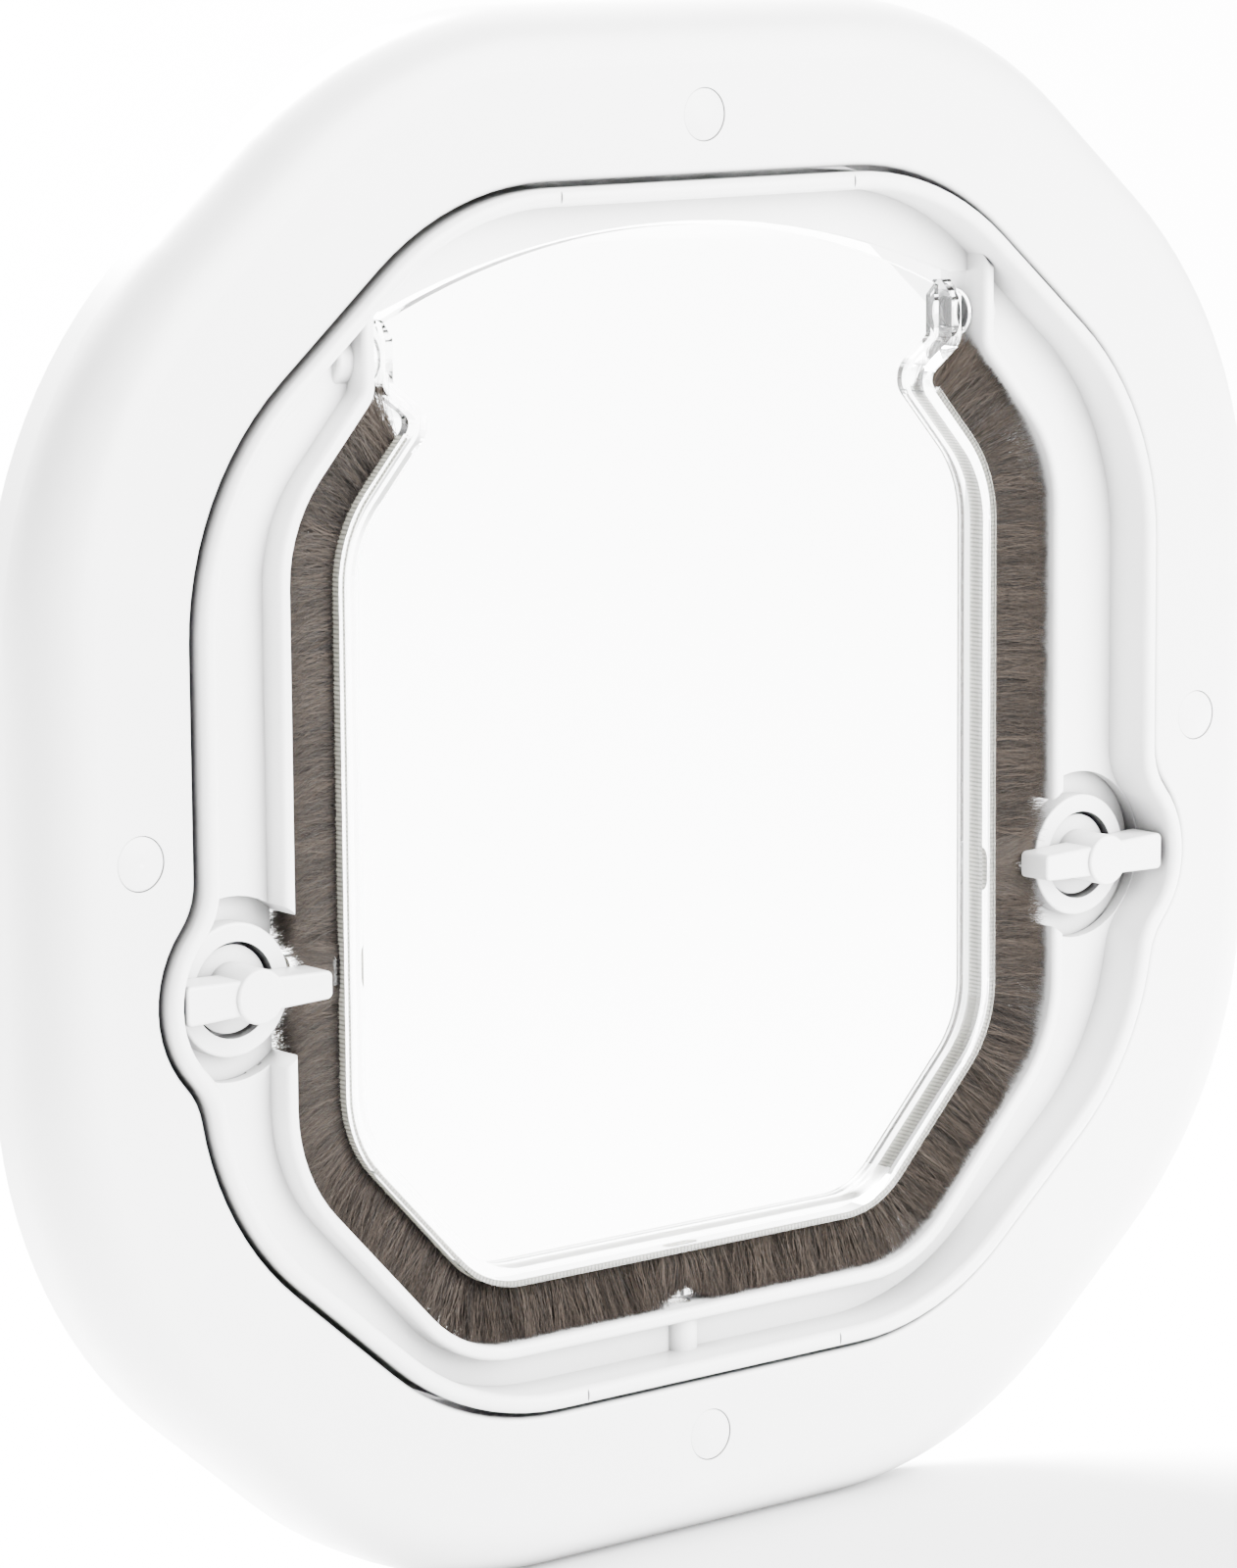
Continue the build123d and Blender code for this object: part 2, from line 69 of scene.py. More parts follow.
# Right half of the flap's outer face, from the bottom centre up: direction and distance of each run,
# the rounds between runs, and the neck where the seal ends
FLAP_RUNS = ((-90.0, 95.0), (-43.6, 102.9), (0.0, 83.8), (41.5, 99.9))
FLAP_ROUNDS = (20.0, 24.0, 26.0)
ROUND_STEPS = 8
NECK = (68.28, 73.54)
RAIL = 1.2

# Woven backing
BACKING_MIDDLE = -6.75
BACKING_WIDTH = 6.7
BACKING_THICKNESS = 0.9
RIB_CROWN = 1.22

# Pile: length of the hairs on each run, and their roots and tips fore and aft
PILE_SEED = 11
PILE_LENGTHS = (10.9, 12.8, 14.2, 13.3)
ROOT_FRONT, ROOT_REAR = -8.3, -3.4
TIP_FRONT, TIP_REAR = -12.6, -2.6
TIP_STRAY = 0.4
TIP_RISE = 1.2

# Pile: how far hairs sway to a side, as shares of their length, and the sizes of tufts that sway as one
TUFT_SWAYS = ((2.4, 0.13), (8.0, 0.10))
HAIR_SWAY = 0.15
SWAY_RISE = 1.6
HAIR_CURL = 0.07
HAIR_DROOP = 0.04
END_REACH = 6.0
END_RISE = 1.5
END_FAN = 0.45

# Pile: shape and shade of a hair
TURN_REACH = 1.5
SHORTEST = 0.91
OUTER_SHORTER = 0.03
HAIR_TAPER = 0.7
HAIR_LEVELS = 4
SHADE_MIDDLE, SHADE_SPREAD = 0.46, 0.33
TUFT_SIZE, TUFT_SHADE = 3.0, 0.14
END_SHADE = 0.5
# Shade along each hair, root to tip: painted shade, darker at the roots deep in the pile
LEVEL_SHADES = ((0, 0.6), (0.4, 0.95), (1, 1.15))

# Knob bars in front of the pile, and pegs of the flap that it parts round
KNOB_Z = -27.8
BAR_REAR = -10.2
BAR_ROOM = 0.4
BAR_HALF = 8.0
PEG_ZONE = 20.0
NO_PEG = 99
PEG_FRONT = -8.9
PEG_HALF = 4.5
PEG_MARGIN = 0.7
PEG_LEAN = 0.14
PEG_SHORTER = 0.28
PEG_ROOT_SPREAD = 0.2
PEG_TIP, PEG_TIP_SPREAD = 1.4, 0.8
PEG_RISE = 0.5

# Camera, as solved from the photograph
PICTURE_HEIGHT = 1600
FOCAL_PIXELS = 5900.7357
SENSOR = 36
VIEW_TURN, VIEW_TILT, VIEW_ROLL = (math.radians(angle) for angle in (39.5904, 9.2326, -0.4165))
VIEW_TARGET = (-0.0230721, -0.018, 0.0030313)
VIEW_DISTANCE = 1.1355266

# Floor, which fades from front to back, and lights, with a bank of suns for the floor behind the flap
FLOOR_SIZE = 90
FLOOR_TURN = math.radians(12)
FLOOR_FADE = (-0.55, 0.12)
KEY_WIDTH = 1.2
KEY_SPOT = (0.4, -1.1, 0.55)
SUN_SPOTS = [(x, y, 1.6) for x in (0.1, 0.3, 0.5, 0.7) for y in (1.4, 1.6, 1.8)]
SUN_ANGLE = math.radians(24)
BACKDROP_DEPTH = (0.25, 0.7)
BACKDROP_HEIGHT = (0.3, 0.7)


def meet(first, second):
    """Point where two runs cross."""
    a1, d1 = math.radians(first[0]), first[1]
    a2, d2 = math.radians(second[0]), second[1]
    cross = math.sin(a2 - a1)
    x = (d1 * math.sin(a2) - d2 * math.sin(a1)) / cross
    z = (d2 * math.cos(a1) - d1 * math.cos(a2)) / cross
    return x, z


def deselect():
    """Leave nothing selected and no mode open."""
    if bpy.context.object and bpy.context.object.mode != "OBJECT":
        bpy.ops.object.mode_set(mode="OBJECT")
    bpy.ops.object.select_all(action="DESELECT")


def only(obj):
    """Select one object and make it active."""
    deselect()
    obj.select_set(True)
    bpy.context.view_layer.objects.active = obj


def place(obj):
    """Put the object's place into its mesh."""
    only(obj)
    bpy.ops.object.transform_apply(location=True, rotation=True, scale=True)


def pick(obj, items, test):
    """Select the vertices or faces that pass a test, and open the mesh for editing."""
    only(obj)
    bpy.ops.object.mode_set(mode="EDIT")
    bpy.ops.mesh.select_all(action="DESELECT")
    bpy.ops.object.mode_set(mode="OBJECT")
    for item in items:
        item.select = test(item)
    bpy.ops.object.mode_set(mode="EDIT")


def material(name, colour, roughness):
    """Start a material and return it with its nodes, links and shader."""
    mat = bpy.data.materials.new(name)
    mat.use_nodes = True
    nodes = mat.node_tree.nodes
    shader = nodes["Principled BSDF"]
    shader.inputs["Base Color"].default_value = (*colour, 1)
    shader.inputs["Roughness"].default_value = roughness
    return mat, nodes, mat.node_tree.links, shader


def wear(obj, mat):
    """Give a piece one material."""
    obj.data.materials.clear()
    obj.data.materials.append(mat)


def ramp(nodes, links, value, stops):
    """Colour from a value by way of (position, colour) stops."""
    node = nodes.new("ShaderNodeValToRGB")
    node.color_ramp.elements[0].position = stops[0][0]
    node.color_ramp.elements[0].color = (*stops[0][1], 1)
    node.color_ramp.elements[1].position = stops[-1][0]
    node.color_ramp.elements[1].color = (*stops[-1][1], 1)
    for position, colour in stops[1:-1]:
        node.color_ramp.elements.new(position).color = (*colour, 1)
    links.new(value, node.inputs["Fac"])
    return node.outputs["Color"]


def remap(nodes, links, value, source, target):
    """Node that maps a value from one range to another."""
    node = nodes.new("ShaderNodeMapRange")
    node.inputs["From Min"].default_value, node.inputs["From Max"].default_value = source
    node.inputs["To Min"].default_value, node.inputs["To Max"].default_value = target
    links.new(value, node.inputs["Value"])
    return node


def noise(nodes, links, scale, detail):
    """Noise on object coordinates."""
    coords = nodes.new("ShaderNodeTexCoord")
    node = nodes.new("ShaderNodeTexNoise")
    node.inputs["Scale"].default_value = scale
    node.inputs["Detail"].default_value = detail
    links.new(coords.outputs["Object"], node.inputs["Vector"])
    return node.outputs["Fac"]


def attribute(nodes, name):
    """Value of an attribute of the mesh."""
    node = nodes.new("ShaderNodeAttribute")
    node.attribute_name = name
    return node.outputs["Fac"]


def bump(nodes, links, height, shader, strength):
    """Drive the shader's normal from a height."""
    node = nodes.new("ShaderNodeBump")
    node.inputs["Strength"].default_value = strength
    node.inputs["Distance"].default_value = 0.2 * MM
    links.new(height, node.inputs["Height"])
    links.new(node.outputs["Normal"], shader.inputs["Normal"])


def product(nodes, links, first, second):
    """Product of two colours."""
    node = nodes.new("ShaderNodeMix")
    node.data_type = "RGBA"
    node.blend_type = "MULTIPLY"
    node.inputs["Factor"].default_value = 1
    inputs = {socket.identifier: socket for socket in node.inputs}
    links.new(first, inputs["A_Color"])
    links.new(second, inputs["B_Color"])
    return {socket.identifier: socket for socket in node.outputs}["Result_Color"]


def faded(colour, share):
    """A darker share of a colour."""
    return tuple(c * share for c in colour)


class CatFlapMouldings(PropertyGroup):
    """Finish of the white and clear mouldings, and how far the painted shade in their gaps reaches."""

    white: FloatVectorProperty(
        name="White", description="Colour of the ring, frame, caps and knobs", subtype="COLOR",
        default=(0.78, 0.78, 0.78), min=0, max=1)
    roughness: FloatProperty(
        name="Roughness", description="How dull the white plastic is", default=0.3, min=0, max=1)
    # Reach of the painted shade that darkens gaps and seams
    gap_shade_reach: FloatProperty(
        name="Gap Shade Reach", description="How near another wall has to be for a gap to look dark",
        subtype="DISTANCE", unit="LENGTH", default=0.008, min=0.0005, max=0.02)
    clear: FloatVectorProperty(
        name="Clear", description="Tint of the clear flap", subtype="COLOR",
        default=(0.99, 0.995, 0.995), min=0, max=1)
    clear_index: FloatProperty(
        name="Clear Index", description="Refraction of the clear flap", default=1.5, min=1, max=2)


class CatFlapSeal(PropertyGroup):
    """Woven backing and brush pile."""

    hairs: IntProperty(
        name="Hairs", description="Number of hairs in the whole pile", default=96000, min=1000, max=120000)
    hair_width: FloatProperty(
        name="Hair Width", description="Width of a hair at its root", subtype="DISTANCE", unit="LENGTH",
        default=0.00014, min=0.00005, max=0.001)
    rib_pitch: FloatProperty(
        name="Rib Pitch", description="Spacing of the ribs across the woven backing", subtype="DISTANCE",
        unit="LENGTH", default=0.0009, min=0.0003, max=0.004)
    dark: FloatVectorProperty(
        name="Dark Hair", description="Colour of the darkest hairs", subtype="COLOR",
        default=(0.0062, 0.0046, 0.0035), min=0, max=1)
    light: FloatVectorProperty(
        name="Light Hair", description="Colour of the lightest hairs", subtype="COLOR",
        default=(0.052, 0.0395, 0.0305), min=0, max=1)
    backing: FloatVectorProperty(
        name="Backing", description="Colour of the woven backing", subtype="COLOR",
        default=(0.36, 0.35, 0.30), min=0, max=1)


class CatFlapStage(PropertyGroup):
    """Floor and light."""

    floor: FloatVectorProperty(
        name="Floor", description="Colour of the floor behind the flap", subtype="COLOR",
        default=(0.9, 0.9, 0.9), min=0, max=1)
    floor_front: FloatVectorProperty(
        name="Floor In Front", description="Colour of the floor in front, which throws less light back",
        subtype="COLOR", default=(0.1, 0.1, 0.1), min=0, max=1)
    key: FloatProperty(
        name="Key", description="Power of the large front light", subtype="POWER", default=150, min=0)
    sun: FloatProperty(
        name="Sun", description="Strength of the light on the floor behind", default=62, min=0)
    sky: FloatProperty(
        name="Sky", description="Strength of the white surroundings", default=0.5, min=0)
    backdrop: FloatProperty(
        name="Backdrop", description="Strength of the white behind", default=9, min=0)


def white_plastic(settings):
    """Glossy white moulding with faint unevenness, and painted shade in its gaps and seams."""
    mat, nodes, links, shader = material("White moulded plastic", settings.white, settings.roughness)
    white = tuple(settings.white)
    cloud = noise(nodes, links, scale=60, detail=3)
    tone = ramp(nodes, links, cloud, [(0.35, faded(white, 0.985)), (0.65, white)])
    # Painted shade: ambient occlusion darkens the white in gaps, seams and hollow corners, where shade
    # falls
    gap_shade = nodes.new("ShaderNodeAmbientOcclusion")
    gap_shade.samples = 8
    gap_shade.inputs["Distance"].default_value = settings.gap_shade_reach
    stops = [(0.12, (0.04, 0.04, 0.04)), (0.5, (0.72, 0.72, 0.72)), (0.8, (1, 1, 1))]
    depth = ramp(nodes, links, gap_shade.outputs["AO"], stops)
    links.new(product(nodes, links, tone, depth), shader.inputs["Base Color"])
    sheen = remap(nodes, links, cloud, (0, 1), (settings.roughness - 0.05, settings.roughness + 0.06))
    links.new(sheen.outputs["Result"], shader.inputs["Roughness"])
    bump(nodes, links, noise(nodes, links, scale=900, detail=2), shader, strength=0.05)
    return mat


class CATFLAP_OT_mouldings(Operator):
    """Give the ring, frame, caps and knobs their white plastic"""

    bl_idname = "catflap.mouldings"
    bl_label = "White Mouldings"

    def execute(self, context):
        mat = white_plastic(context.scene.catflap_mouldings)
        for name in ("inside_ring", "main_frame", "top_cap", "bottom_cap", "left_cap", "right_cap",
                     "left_knob", "right_knob"):
            wear(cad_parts[name], mat)
        return {"FINISHED"}


class CATFLAP_OT_clear_flap(Operator):
    """Give the flap its clear plastic"""

    bl_idname = "catflap.clear_flap"
    bl_label = "Clear Flap"

    def execute(self, context):
        settings = context.scene.catflap_mouldings
        mat, nodes, links, shader = material("Clear polycarbonate", settings.clear, 0.03)
        shader.inputs["Transmission Weight"].default_value = 1
        shader.inputs["IOR"].default_value = settings.clear_index
        rub = remap(nodes, links, noise(nodes, links, scale=25, detail=2), (0, 1), (0, 0.05))
        links.new(rub.outputs["Result"], shader.inputs["Roughness"])
        wear(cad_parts["flap"], mat)
        return {"FINISHED"}


class CATFLAP_OT_metal(Operator):
    """Give the screws, washers and magnets their metal"""

    bl_idname = "catflap.metal"
    bl_label = "Metal Pieces"

    def execute(self, context):
        finishes = (
            ("Zinc plated steel", (0.55, 0.56, 0.57), 0.34,
             ("clamp_screws", "left_washer", "right_washer", "left_knob_screw", "right_knob_screw")),
            ("Nickel plated magnet", (0.66, 0.65, 0.63), 0.18, ("sill_magnet", "flap_magnet")),
        )
        for name, colour, roughness, pieces in finishes:
            mat, nodes, links, shader = material(name, colour, roughness)
            shader.inputs["Metallic"].default_value = 1
            cloud = noise(nodes, links, scale=400, detail=4)
            tone = ramp(nodes, links, cloud, [(0.3, faded(colour, 0.8)), (0.7, colour)])
            links.new(tone, shader.inputs["Base Color"])
            bump(nodes, links, cloud, shader, strength=0.08)
            for piece in pieces:
                wear(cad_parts[piece], mat)
        return {"FINISHED"}


def seal_path(offset):
    """Points along the seal, from the left neck round the bottom to the right neck, in millimetres."""
    runs = [(angle, d + offset) for angle, d in FLAP_RUNS]
    corners = [meet(a, b) for a, b in zip(runs, runs[1:])]
    angle = math.radians(FLAP_RUNS[-1][0])
    end = (NECK[0] + offset * math.cos(angle), NECK[1] + offset * math.sin(angle))
    half = [(0.0, -runs[0][1])]
    for index, (x, z) in enumerate(corners):
        a1, a2 = math.radians(runs[index][0]), math.radians(runs[index + 1][0])
        radius = FLAP_ROUNDS[index] + offset
        reach = radius / math.cos((a2 - a1) / 2)
        middle = (a1 + a2) / 2
        cx, cz = x - reach * math.cos(middle), z - reach * math.sin(middle)
        for step in range(ROUND_STEPS + 1):
            a = a1 + (a2 - a1) * step / ROUND_STEPS
            half.append((cx + radius * math.cos(a), cz + radius * math.sin(a)))
    half.append(end)
    return [(-x, z) for x, z in reversed(half[1:])] + half


def path_curve(points, y):
    """Curve through (x, z) points at one depth, all in millimetres."""
    deselect()
    bpy.ops.mesh.primitive_plane_add(size=MM, location=(0, 0, 0))
    line = bpy.context.object
    bpy.ops.object.mode_set(mode="EDIT")
    bpy.ops.mesh.select_all(action="SELECT")
    bpy.ops.mesh.merge(type="CENTER")
    here = Vector((0, 0, 0))
    for x, z in points:
        there = Vector((x * MM, y * MM, z * MM))
        bpy.ops.mesh.extrude_region_move(TRANSFORM_OT_translate={"value": there - here})
        here = there
    bpy.ops.object.mode_set(mode="OBJECT")
    pick(line, line.data.vertices, lambda vertex: vertex.co.length < 1e-6)
    bpy.ops.mesh.delete(type="VERT")
    bpy.ops.object.mode_set(mode="OBJECT")
    bpy.ops.object.convert(target="CURVE")
    return bpy.context.object


def rib_block(name, pitch):
    """One rib of the weave: a small open block with its crown pulled up and marked, so the material can
    paint shade between the ribs.
    """

    def on_crown(vertex):
        return abs(vertex.co.x - pitch / 2) < pitch / 8

    deselect()
    bpy.ops.mesh.primitive_cube_add(size=1, location=(pitch / 2, 0, 0))
    rib = bpy.context.object
    rib.name = name
    rib.scale = (pitch, BACKING_WIDTH * MM, BACKING_THICKNESS * MM)
    place(rib)
    bpy.ops.object.mode_set(mode="EDIT")
    bpy.ops.mesh.select_all(action="SELECT")
    bpy.ops.mesh.subdivide(number_cuts=1)
    bpy.ops.object.mode_set(mode="OBJECT")
    inside = BACKING_THICKNESS * MM / 4
    pick(rib, rib.data.vertices, lambda vertex: on_crown(vertex) and abs(vertex.co.z) > inside)
    bpy.ops.transform.resize(value=(1, 1, RIB_CROWN), center_override=(pitch / 2, 0, 0))
    bpy.ops.object.mode_set(mode="OBJECT")
    pick(rib, rib.data.polygons, lambda face: abs(face.normal.x) > 0.9)
    bpy.ops.mesh.delete(type="FACE")
    bpy.ops.object.mode_set(mode="OBJECT")
    # Crown mark, which drives the painted shade between the ribs
    crown = rib.data.attributes.new("crown", "FLOAT", "POINT")
    for vertex in rib.data.vertices:
        crown.data[vertex.index].value = float(on_crown(vertex))
    return rib


def woven_strip(settings):
    """Off-white weave with random tone, and painted shade between its ribs."""
    mat, nodes, links, shader = material("Woven backing", settings.backing, 0.85)
    weave = noise(nodes, links, scale=1500, detail=2)
    # Painted shade: the weave's random tone plus the crown mark, so the colour darkens in the hollows
    # between the ribs
    weave_and_rib_shade = nodes.new("ShaderNodeMath")
    weave_and_rib_shade.operation = "MULTIPLY_ADD"
    weave_and_rib_shade.inputs[1].default_value = 0.5
    links.new(weave, weave_and_rib_shade.inputs[0])
    links.new(attribute(nodes, "crown"), weave_and_rib_shade.inputs[2])
    stops = [(0.3, faded(settings.backing, 0.3)), (1.0, tuple(settings.backing))]
    links.new(ramp(nodes, links, weave_and_rib_shade.outputs["Value"], stops), shader.inputs["Base Color"])
    bump(nodes, links, weave, shader, strength=0.5)
    return mat


class CATFLAP_OT_backing(Operator):
    """Weave the ribbed backing into the flap's channel"""

    bl_idname = "catflap.backing"
    bl_label = "Woven Backing"

    def execute(self, context):
        settings = context.scene.catflap_seal
        line = path_curve(seal_path(RAIL / 2), BACKING_MIDDLE)
        length = sum(spline.calc_length() for spline in line.data.splines)
        count = int(length / settings.rib_pitch)
        pitch = length / count
        rib = rib_block("woven_backing", pitch)
        array = rib.modifiers.new("Ribs", "ARRAY")
        array.count = count
        array.use_relative_offset = False
        array.use_constant_offset = True
        array.constant_offset_displace = (pitch, 0, 0)
        array.use_merge_vertices = True
        array.merge_threshold = 1e-5
        bend = rib.modifiers.new("Path", "CURVE")
        bend.object = line
        only(rib)
        bpy.ops.object.modifier_apply(modifier="Ribs")
        bpy.ops.object.modifier_apply(modifier="Path")
        bpy.data.objects.remove(line)
        place(rib)
        bpy.ops.object.shade_smooth()
        wear(rib, woven_strip(settings))
        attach(rib, "swinging_flap")
        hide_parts("seal_backing")
        return {"FINISHED"}


def along(points):
    """Lengths along a row of points, and the points as an array."""
    row = np.array(points)
    steps = np.hypot(*(row[1:] - row[:-1]).T)
    return np.concatenate([[0], np.cumsum(steps)]), row


def directions(lengths, row, s):
    """Unit vectors along the seal and out from it, at lengths along it."""
    ahead, behind = (np.clip(s + step, 0, lengths[-1]) for step in (TURN_REACH, -TURN_REACH))
    tx = np.interp(ahead, lengths, row[:, 0]) - np.interp(behind, lengths, row[:, 0])
    tz = np.interp(ahead, lengths, row[:, 1]) - np.interp(behind, lengths, row[:, 1])
    size = np.hypot(tx, tz)
    tx, tz = tx / size, tz / size
    return tx, tz, tz, -tx


def tufts(rng, s, total, size):
    """Smooth values from -1 to 1 that hairs of one tuft share."""
    sway = rng.uniform(-1, 1, int(total / size) + 2)
    return np.interp(s / size, np.arange(len(sway)), sway)


def between(front, rear, depth):
    """Place between a front and a rear, for a depth from -1 to 1."""
    return (front + rear) / 2 + (rear - front) / 2 * depth


def hair_strands(rng, points, count, width):
    """Ribbons for the pile: vertices and a shade for each level of each hair, and the roots' places."""
    lengths, row = along(points)
    total = lengths[-1]
    s = rng.uniform(0, total, count)
    x = np.interp(s, lengths, row[:, 0])
    z = np.interp(s, lengths, row[:, 1])
    tx, tz, nx, nz = directions(lengths, row, s)

    # Pile length: longest at the sides, shortest at the bottom
    angle = np.degrees(np.arctan2(nz, np.abs(nx)))
    length = np.interp(angle, [run[0] for run in FLAP_RUNS], PILE_LENGTHS)

    # Hairs sway in tufts, and fan out at both ends of the strip
    lean = sum(share * tufts(rng, s, total, size) for size, share in TUFT_SWAYS)
    lean += rng.normal(0, HAIR_SWAY, count)
    fan = np.clip(1 - np.minimum(s, total - s) / END_REACH, 0, 1)
    lean += np.where(s < total / 2, -1, 1) * fan ** END_RISE * rng.uniform(0.0, END_FAN, count)

    # They part round the pegs
    side_peg = np.where(np.abs(z - KNOB_Z) < PEG_ZONE, (z - KNOB_Z) * np.sign(x), NO_PEG)
    peg = np.where(np.abs(x) < PEG_ZONE, x, side_peg)
    depth = rng.uniform(-1, 1, count)
    near = np.exp(-(peg / PEG_HALF) ** 2)
    lean += np.sign(peg) * PEG_LEAN * near
    length = length * (1 - PEG_SHORTER * near)

    # They spread fore and aft from the backing, rise over the pegs, and stay behind the knobs' bars
    on_peg = np.abs(peg) < PEG_HALF + PEG_MARGIN
    by_bar = (np.abs(z - KNOB_Z) < BAR_HALF) & (np.abs(x) > PEG_ZONE)
    root_y = between(ROOT_FRONT, ROOT_REAR, depth)
    root_y = np.where(on_peg, ROOT_FRONT + PEG_ROOT_SPREAD * depth, root_y)
    tip_y = between(TIP_FRONT, TIP_REAR, depth) + rng.normal(0, TIP_STRAY, count)
    tip_y = np.where(on_peg, PEG_FRONT - PEG_TIP + PEG_TIP_SPREAD * depth, tip_y)
    tip_y = np.clip(tip_y, np.where(by_bar, BAR_REAR + BAR_ROOM, TIP_FRONT), TIP_REAR)
    rise = np.where(on_peg, PEG_RISE, TIP_RISE)

    # Each hair has a length, a curl, a shade and a twist of its own
    length = length * rng.uniform(SHORTEST, 1.0, count) * (1 - OUTER_SHORTER * depth ** 2)
    curl = rng.normal(0, HAIR_CURL, count)
    shade = rng.normal(SHADE_MIDDLE, SHADE_SPREAD, count)
    shade = np.clip(shade + TUFT_SHADE * tufts(rng, s, total, TUFT_SIZE) + END_SHADE * fan, 0, 1)
    twist = rng.uniform(0, math.pi, count)

    # A ribbon for each hair, which narrows to its tip
    levels = np.linspace(0, 1, HAIR_LEVELS)
    verts = np.zeros((count, HAIR_LEVELS, 2, 3))
    for k, u in enumerate(levels):
        side = length * (lean * u ** SWAY_RISE + curl * math.sin(math.pi * u))
        px = x + nx * length * u + tx * side
        pz = z + nz * length * u + tz * side - HAIR_DROOP * length * u ** 2
        py = root_y + (tip_y - root_y) * u ** rise
        half = width * (1 - HAIR_TAPER * u ** 2) / 2
        ox, oz, oy = tx * np.cos(twist) * half, tz * np.cos(twist) * half, np.sin(twist) * half
        verts[:, k, 0] = np.stack([px - ox, py - oy, pz - oz], axis=1)
        verts[:, k, 1] = np.stack([px + ox, py + oy, pz + oz], axis=1)
    # Painted shade: each hair darkens towards its root, deep in the pile
    tone = np.clip(shade[:, None] * np.interp(levels, *zip(*LEVEL_SHADES))[None, :], 0, 1)
    return verts, tone, x, z


def hair_mesh(name, verts, tone):
    """Mesh of hair ribbons with a shade at each vertex."""
    base = (np.arange(len(verts)) * HAIR_LEVELS * 2)[:, None, None]
    step = (np.arange(HAIR_LEVELS - 1) * 2)[None, :, None]
    faces = base + step + np.array([0, 1, 3, 2])[None, None, :]
    mesh = bpy.data.meshes.new(name)
    mesh.from_pydata((verts.reshape(-1, 3) * MM).tolist(), [], faces.reshape(-1, 4).tolist())
    layer = mesh.attributes.new("shade", "FLOAT", "POINT")
    layer.data.foreach_set("value", np.repeat(tone.reshape(-1), 2).astype(np.float32))
    mesh.update()
    return mesh


def brush_hair(settings):
    """Dull taupe hair, light or dark by its shade, which holds random tone and painted shade towards the
    roots.
    """
    mat, nodes, links, shader = material("Taupe brush pile", settings.light, 0.8)
    middle = tuple(a * 0.55 + b * 0.45 for a, b in zip(settings.dark, settings.light))
    stops = [(0.0, tuple(settings.dark)), (0.45, middle), (1.0, tuple(settings.light))]
    links.new(ramp(nodes, links, attribute(nodes, "shade"), stops), shader.inputs["Base Color"])
    shader.inputs["Sheen Weight"].default_value = 0.1
    shader.inputs["Sheen Roughness"].default_value = 0.5
    shader.inputs["Specular IOR Level"].default_value = 0.15
    return mat


class CATFLAP_OT_pile(Operator):
    """Grow the brush pile on the backing"""

    bl_idname = "catflap.pile"
    bl_label = "Brush Pile"

    def execute(self, context):
        settings = context.scene.catflap_seal
        rng = np.random.default_rng(PILE_SEED)
        verts, tone, x, z = hair_strands(rng, seal_path(RAIL), settings.hairs, settings.hair_width / MM)
        mat = brush_hair(settings)
        regions = {
            "pile_upper_left": (x < 0) & (z > KNOB_Z), "pile_upper_right": (x >= 0) & (z > KNOB_Z),
            "pile_lower_left": (x < 0) & (z <= KNOB_Z), "pile_lower_right": (x >= 0) & (z <= KNOB_Z),
        }
        for name, mask in regions.items():
            obj = bpy.data.objects.new(name, hair_mesh(name, verts[mask], tone[mask]))
            context.scene.collection.objects.link(obj)
            only(obj)
            bpy.ops.object.shade_smooth()
            wear(obj, mat)
            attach(obj, "swinging_flap")
        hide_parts("seal_pile")
        return {"FINISHED"}


def lamp(name, kind, power, width, spot):
    """Add a soft light that faces the flap: a square of a width, or a sun of an angle."""
    deselect()
    bpy.ops.object.light_add(type=kind, location=spot)
    obj = bpy.context.object
    obj.name = name
    obj.data.energy = power
    if kind == "SUN":
        obj.data.angle = width
    else:
        obj.data.size = width
    obj.rotation_euler = (-Vector(spot)).to_track_quat("-Z", "Y").to_euler()


def studio(settings):
    """White surroundings, brighter behind the flap up to a low height."""
    world = bpy.data.worlds.new("Studio")
    world.use_nodes = True
    nodes, links = world.node_tree.nodes, world.node_tree.links
    coords = nodes.new("ShaderNodeTexCoord")
    axes = nodes.new("ShaderNodeSeparateXYZ")
    links.new(coords.outputs["Generated"], axes.inputs["Vector"])
    behind = remap(nodes, links, axes.outputs["Y"], BACKDROP_DEPTH, (0, 1))
    low = remap(nodes, links, axes.outputs["Z"], BACKDROP_HEIGHT, (settings.backdrop - settings.sky, 0))
    level = nodes.new("ShaderNodeMath")
    level.operation = "MULTIPLY_ADD"
    level.inputs[2].default_value = settings.sky
    links.new(behind.outputs["Result"], level.inputs[0])
    links.new(low.outputs["Result"], level.inputs[1])
    links.new(level.outputs["Value"], nodes["Background"].inputs["Strength"])
    nodes["Background"].inputs["Color"].default_value = (1, 1, 1, 1)
    return world


def pale_floor(settings):
    """Plain floor that is greyer in front, so that it throws less light on the flap's face."""
    mat, nodes, links, shader = material("Pale floor", settings.floor, 0.6)
    coords = nodes.new("ShaderNodeTexCoord")
    away = nodes.new("ShaderNodeVectorMath")
    away.operation = "DOT_PRODUCT"
    away.inputs[1].default_value = (math.sin(FLOOR_TURN), math.cos(FLOOR_TURN), 0)
    links.new(coords.outputs["Object"], away.inputs[0])
    fade = remap(nodes, links, away.outputs["Value"], FLOOR_FADE, (0, 1))
    fade.interpolation_type = "SMOOTHERSTEP"
    stops = [(0.0, tuple(settings.floor_front)), (1.0, tuple(settings.floor))]
    links.new(ramp(nodes, links, fade.outputs["Result"], stops), shader.inputs["Base Color"])
    return mat


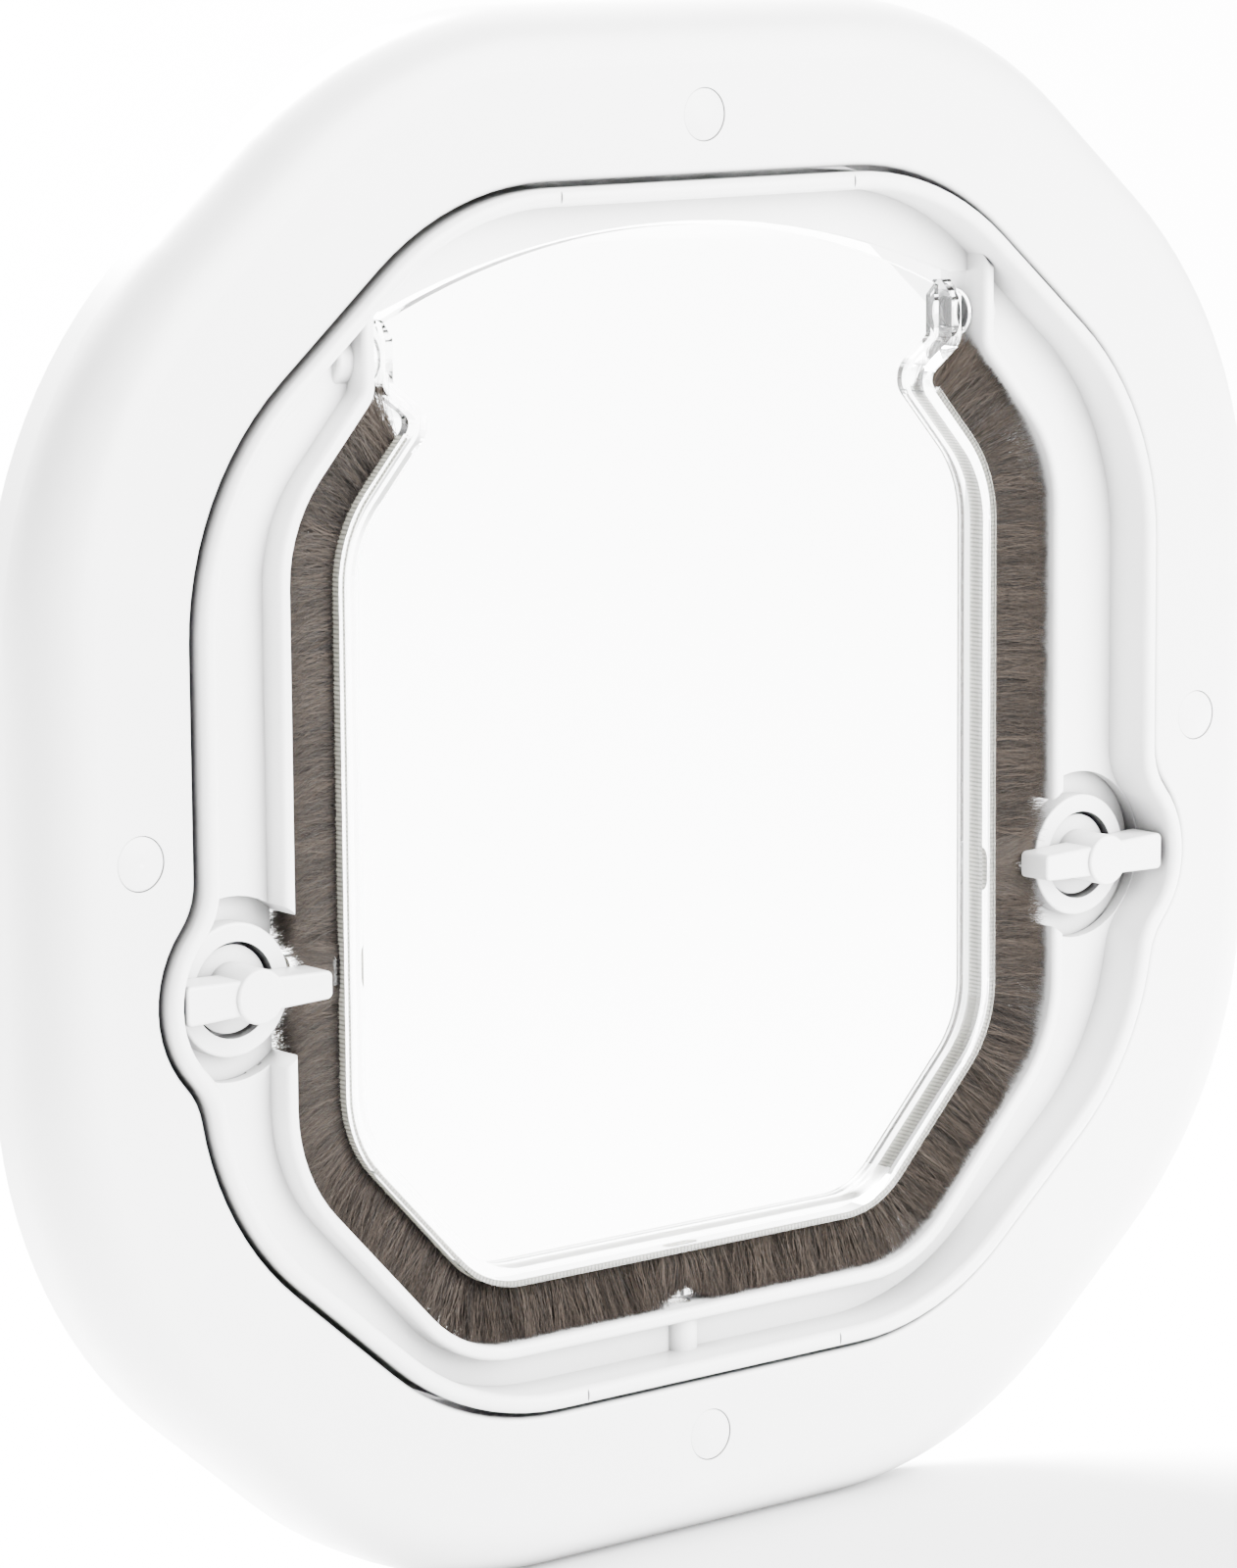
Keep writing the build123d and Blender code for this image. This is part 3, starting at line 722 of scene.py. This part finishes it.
def view_matrix():
    """Place and turn of the camera, as in the photograph."""
    turn, tilt, roll = VIEW_TURN, VIEW_TILT, VIEW_ROLL
    ahead = Vector((math.cos(tilt) * math.sin(turn), math.cos(tilt) * math.cos(turn), -math.sin(tilt)))
    right = Vector((math.cos(turn), -math.sin(turn), 0))
    up = right.cross(ahead)
    right, up = (math.cos(roll) * right + math.sin(roll) * up,
                 -math.sin(roll) * right + math.cos(roll) * up)
    spot = Vector(VIEW_TARGET) - VIEW_DISTANCE * ahead
    return Matrix.Translation(spot) @ Matrix((right, up, -ahead)).transposed().to_4x4()


class CATFLAP_OT_stage(Operator):
    """Set the floor, the light and the camera"""

    bl_idname = "catflap.stage"
    bl_label = "Stage"

    def execute(self, context):
        settings = context.scene.catflap_stage
        deselect()
        bpy.ops.mesh.primitive_plane_add(size=FLOOR_SIZE, location=(0, 0, CAD_BOX[0][2]))
        floor = context.object
        floor.name = "floor"
        place(floor)
        wear(floor, pale_floor(settings))

        context.scene.world = studio(settings)
        lamp("Key light", "AREA", settings.key, KEY_WIDTH, KEY_SPOT)
        for spot in SUN_SPOTS:
            lamp("Floor light", "SUN", settings.sun / len(SUN_SPOTS), SUN_ANGLE, spot)

        data = bpy.data.cameras.new("Camera")
        camera = bpy.data.objects.new("Camera", data)
        context.scene.collection.objects.link(camera)
        camera.matrix_world = view_matrix()
        data.sensor_width = SENSOR
        data.sensor_height = SENSOR
        data.lens = FOCAL_PIXELS * SENSOR / PICTURE_HEIGHT
        data.clip_start = 0.01
        context.scene.camera = camera
        return {"FINISHED"}


class CATFLAP_PT_pieces(Panel):
    """Lists the pieces and their settings"""

    bl_label = "Cat Flap"
    bl_idname = "CATFLAP_PT_pieces"
    bl_space_type = "VIEW_3D"
    bl_region_type = "UI"
    bl_category = "Cat Flap"

    def draw(self, context):
        layout = self.layout
        for group, operators in GROUPS:
            settings = getattr(context.scene, group)
            for name in settings.__annotations__:
                layout.prop(settings, name)
            for operator in operators:
                layout.operator(operator)


GROUPS = (
    ("catflap_mouldings", ("catflap.mouldings", "catflap.clear_flap", "catflap.metal")),
    ("catflap_seal", ("catflap.backing", "catflap.pile")),
    ("catflap_stage", ("catflap.stage",)),
)

CLASSES = (
    CatFlapMouldings,
    CatFlapSeal,
    CatFlapStage,
    CATFLAP_OT_mouldings,
    CATFLAP_OT_clear_flap,
    CATFLAP_OT_metal,
    CATFLAP_OT_backing,
    CATFLAP_OT_pile,
    CATFLAP_OT_stage,
    CATFLAP_PT_pieces,
)


def register():
    for cls in CLASSES:
        bpy.utils.register_class(cls)
    bpy.types.Scene.catflap_mouldings = PointerProperty(type=CatFlapMouldings)
    bpy.types.Scene.catflap_seal = PointerProperty(type=CatFlapSeal)
    bpy.types.Scene.catflap_stage = PointerProperty(type=CatFlapStage)


def unregister():
    del bpy.types.Scene.catflap_stage
    del bpy.types.Scene.catflap_seal
    del bpy.types.Scene.catflap_mouldings
    for cls in reversed(CLASSES):
        bpy.utils.unregister_class(cls)


def main():
    register()
    bpy.ops.catflap.stage()
    bpy.ops.catflap.mouldings()
    bpy.ops.catflap.clear_flap()
    bpy.ops.catflap.metal()
    bpy.ops.catflap.backing()
    bpy.ops.catflap.pile()


if __name__ == "__main__":
    main()
